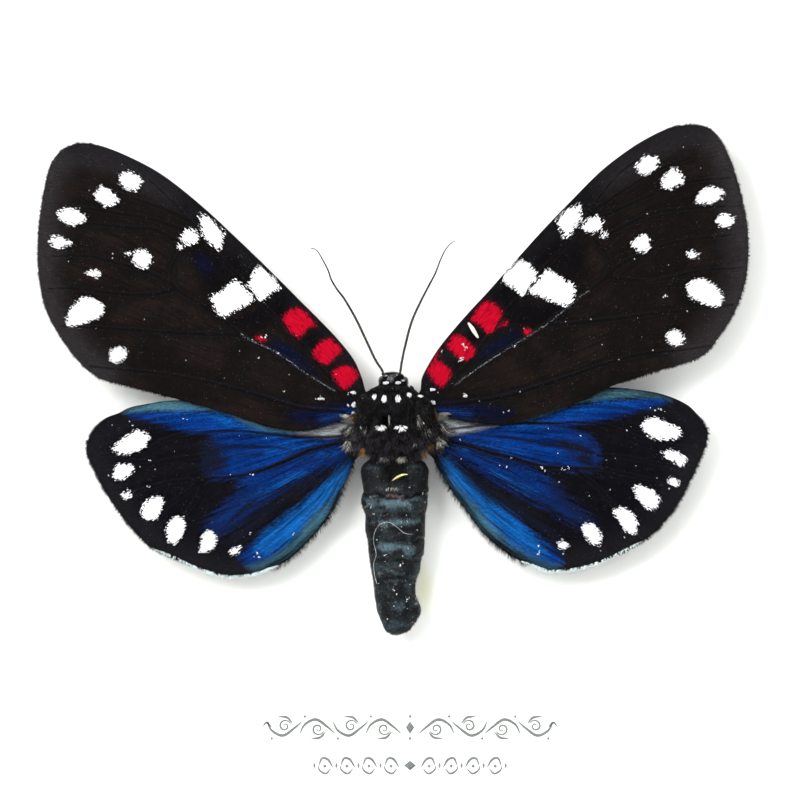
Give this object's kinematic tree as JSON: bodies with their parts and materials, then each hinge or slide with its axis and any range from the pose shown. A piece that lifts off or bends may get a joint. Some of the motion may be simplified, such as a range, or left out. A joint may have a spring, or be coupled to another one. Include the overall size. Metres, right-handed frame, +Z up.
{
  "type": "framed moth specimen",
  "caption": "Square black shadow-box frame with a spread dark moth fixed to a white board behind glass, spotted white and red with blue hindwings, hanger on the back.",
  "frame": {"origin": "middle of the flat underside of the bottom rail, where the frame stands", "axes": "+Z up, +X the viewer's right, -Y towards the viewer through the glass, +Y towards the wall"},
  "size_m": [0.128, 0.0341, 0.128],
  "materials": {
    "black_frame_paint": "satin black paint over close-grained wood",
    "clear_glass": "polished, clear",
    "white_foam": "matt white paper-faced foam strip",
    "white_board": "smooth matt white board",
    "brown_hardboard": "pressed fibre, faintly speckled",
    "tab_steel": "blued spring steel",
    "brassed_steel": "brass-plated, lightly brushed",
    "dark_wing_scales": "fine scales, brown-black with white and red spots",
    "blue_wing_scales": "fine scales, black with blue rays and white spots",
    "black_body_fur": "dense short fur, black with white tufts",
    "slate_abdomen": "close dark scales with blue-grey patches",
    "dark_eye": "dull olive-black, finely faceted",
    "dark_horn": "dark horn with fine scales",
    "clear_glue": "clear set glue"
  },
  "bodies": {
    "root": {"frame_rail_top": "black_frame_paint", "frame_rail_right": "black_frame_paint", "frame_rail_bottom": "black_frame_paint", "frame_rail_left": "black_frame_paint", "glass_pane": "clear_glass", "spacer_top": "white_foam", "spacer_right": "white_foam", "spacer_bottom": "white_foam", "spacer_left": "white_foam", "mount_board": "white_board", "back_panel": "brown_hardboard", "spring_tab_top_1": "tab_steel", "spring_tab_top_2": "tab_steel", "spring_tab_right_1": "tab_steel", "spring_tab_right_2": "tab_steel", "spring_tab_bottom_1": "tab_steel", "spring_tab_bottom_2": "tab_steel", "spring_tab_left_1": "tab_steel", "spring_tab_left_2": "tab_steel", "hanger_plate": "brassed_steel", "hanger_nail_left": "brassed_steel", "hanger_nail_right": "brassed_steel", "forewing_left": "dark_wing_scales", "forewing_right": "dark_wing_scales", "hindwing_left": "blue_wing_scales", "hindwing_right": "blue_wing_scales", "thorax": "black_body_fur", "head": "black_body_fur", "abdomen": "slate_abdomen", "eye_left": "dark_eye", "eye_right": "dark_eye", "antenna_left": "dark_horn", "antenna_right": "dark_horn", "leg_front_left": "dark_horn", "leg_front_right": "dark_horn", "leg_middle_left": "dark_horn", "leg_middle_right": "dark_horn", "leg_hind_left": "dark_horn", "leg_hind_right": "dark_horn", "glue_dab": "clear_glue"}
  },
  "joints": []
}
